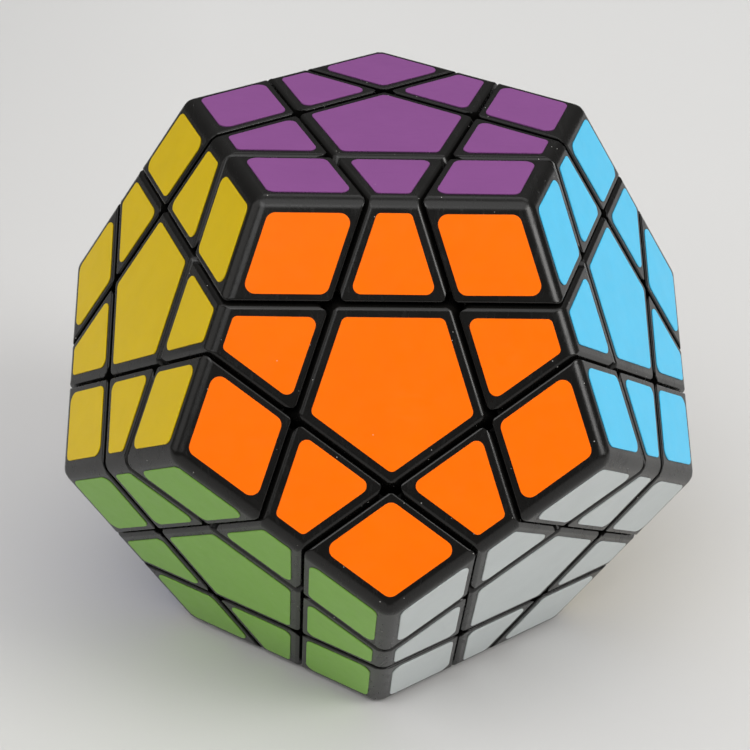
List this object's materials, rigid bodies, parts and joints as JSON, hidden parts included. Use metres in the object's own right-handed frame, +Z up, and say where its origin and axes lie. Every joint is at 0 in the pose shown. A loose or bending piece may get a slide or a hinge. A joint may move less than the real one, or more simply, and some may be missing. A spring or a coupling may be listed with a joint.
{
  "type": "dodecahedron twisty puzzle",
  "caption": "Dodecahedron twisty puzzle: black pieces with coloured stickers turn in layers around a sprung core.",
  "frame": {"origin": "middle of the bottom face, on the surface that the puzzle stands on", "axes": "+Z up through the middles of the bottom and top faces; -Y is the front, towards the orange face; +X to the right of someone facing the front"},
  "size_m": [0.0778, 0.0816, 0.0668],
  "materials": {
    "black_plastic": "satin moulded",
    "core_plastic": "moulded",
    "screw_steel": "zinc plated",
    "spring_steel": "drawn wire",
    "sticker_purple": "satin vinyl film",
    "sticker_orange": "satin vinyl film",
    "sticker_yellow": "satin vinyl film",
    "sticker_sky": "satin vinyl film",
    "sticker_white": "satin vinyl film",
    "sticker_green": "satin vinyl film",
    "sticker_lime": "satin vinyl film",
    "sticker_grey": "satin vinyl film",
    "sticker_blue": "satin vinyl film",
    "sticker_cream": "satin vinyl film",
    "sticker_red": "satin vinyl film",
    "sticker_pink": "satin vinyl film"
  },
  "bodies": {
    "still_pieces": {"centre_blue": "black_plastic", "centre_green": "black_plastic", "centre_grey": "black_plastic", "centre_orange": "black_plastic", "centre_pink": "black_plastic", "centre_red": "black_plastic", "centre_sky": "black_plastic", "centre_white": "black_plastic", "centre_yellow": "black_plastic", "core": "core_plastic", "corner_orange_sky_grey": "black_plastic", "edge_grey_pink": "black_plastic", "edge_orange_grey": "black_plastic", "edge_orange_sky": "black_plastic", "edge_orange_yellow": "black_plastic", "edge_sky_green": "black_plastic", "edge_sky_grey": "black_plastic", "joined_blue_red_pink": "black_plastic", "joined_white_blue_red": "black_plastic", "joined_white_green_red": "black_plastic", "joined_yellow_white_blue": "black_plastic", "screw_cream": "screw_steel", "screw_lime": "screw_steel", "screw_purple": "screw_steel", "spring_cream": "spring_steel", "spring_lime": "spring_steel", "spring_purple": "spring_steel"},
    "purple_layer": {"corner_purple_orange_sky": "black_plastic", "corner_purple_orange_yellow": "black_plastic", "corner_purple_sky_green": "black_plastic", "corner_purple_white_green": "black_plastic", "corner_purple_yellow_white": "black_plastic", "edge_purple_green": "black_plastic", "edge_purple_orange": "black_plastic", "edge_purple_sky": "black_plastic", "edge_purple_white": "black_plastic", "edge_purple_yellow": "black_plastic"},
    "lime_layer": {"corner_lime_blue_pink": "black_plastic", "corner_lime_grey_pink": "black_plastic", "corner_orange_lime_grey": "black_plastic", "corner_orange_yellow_lime": "black_plastic", "corner_yellow_lime_blue": "black_plastic", "edge_lime_blue": "black_plastic", "edge_lime_grey": "black_plastic", "edge_lime_pink": "black_plastic", "edge_orange_lime": "black_plastic", "edge_yellow_lime": "black_plastic"},
    "cream_layer": {"corner_cream_red_pink": "black_plastic", "corner_green_cream_red": "black_plastic", "corner_grey_cream_pink": "black_plastic", "corner_sky_green_cream": "black_plastic", "corner_sky_grey_cream": "black_plastic", "edge_cream_pink": "black_plastic", "edge_cream_red": "black_plastic", "edge_green_cream": "black_plastic", "edge_grey_cream": "black_plastic", "edge_sky_cream": "black_plastic"},
    "purple_centre": {"centre_purple": "black_plastic"},
    "lime_centre": {"centre_lime": "black_plastic"},
    "cream_centre": {"centre_cream": "black_plastic"}
  },
  "joints": [
    {"name": "turn_purple", "type": "hinge", "parent": "still_pieces", "child": "purple_layer", "pos_m": [0, 0, 0.0334], "axis": [0, 0, 1], "continuous": true},
    {"name": "turn_lime", "type": "hinge", "parent": "still_pieces", "child": "lime_layer", "pos_m": [0, 0, 0.0334], "axis": [-0.5257, -0.7236, -0.4472], "continuous": true},
    {"name": "turn_cream", "type": "hinge", "parent": "still_pieces", "child": "cream_layer", "pos_m": [0, 0, 0.0334], "axis": [0.8507, 0.2764, -0.4472], "continuous": true},
    {"name": "float_purple", "type": "slide", "parent": "purple_layer", "child": "purple_centre", "axis": [0, 0, 1], "range_m": [0, 0.0006], "stiffness_N_per_m": 1500, "springref_m": -0.0012, "deforming": ["spring_purple"]},
    {"name": "float_lime", "type": "slide", "parent": "lime_layer", "child": "lime_centre", "axis": [-0.5257, -0.7236, -0.4472], "range_m": [0, 0.0006], "stiffness_N_per_m": 1500, "springref_m": -0.0012, "deforming": ["spring_lime"]},
    {"name": "float_cream", "type": "slide", "parent": "cream_layer", "child": "cream_centre", "axis": [0.8507, 0.2764, -0.4472], "range_m": [0, 0.0006], "stiffness_N_per_m": 1500, "springref_m": -0.0012, "deforming": ["spring_cream"]}
  ]
}
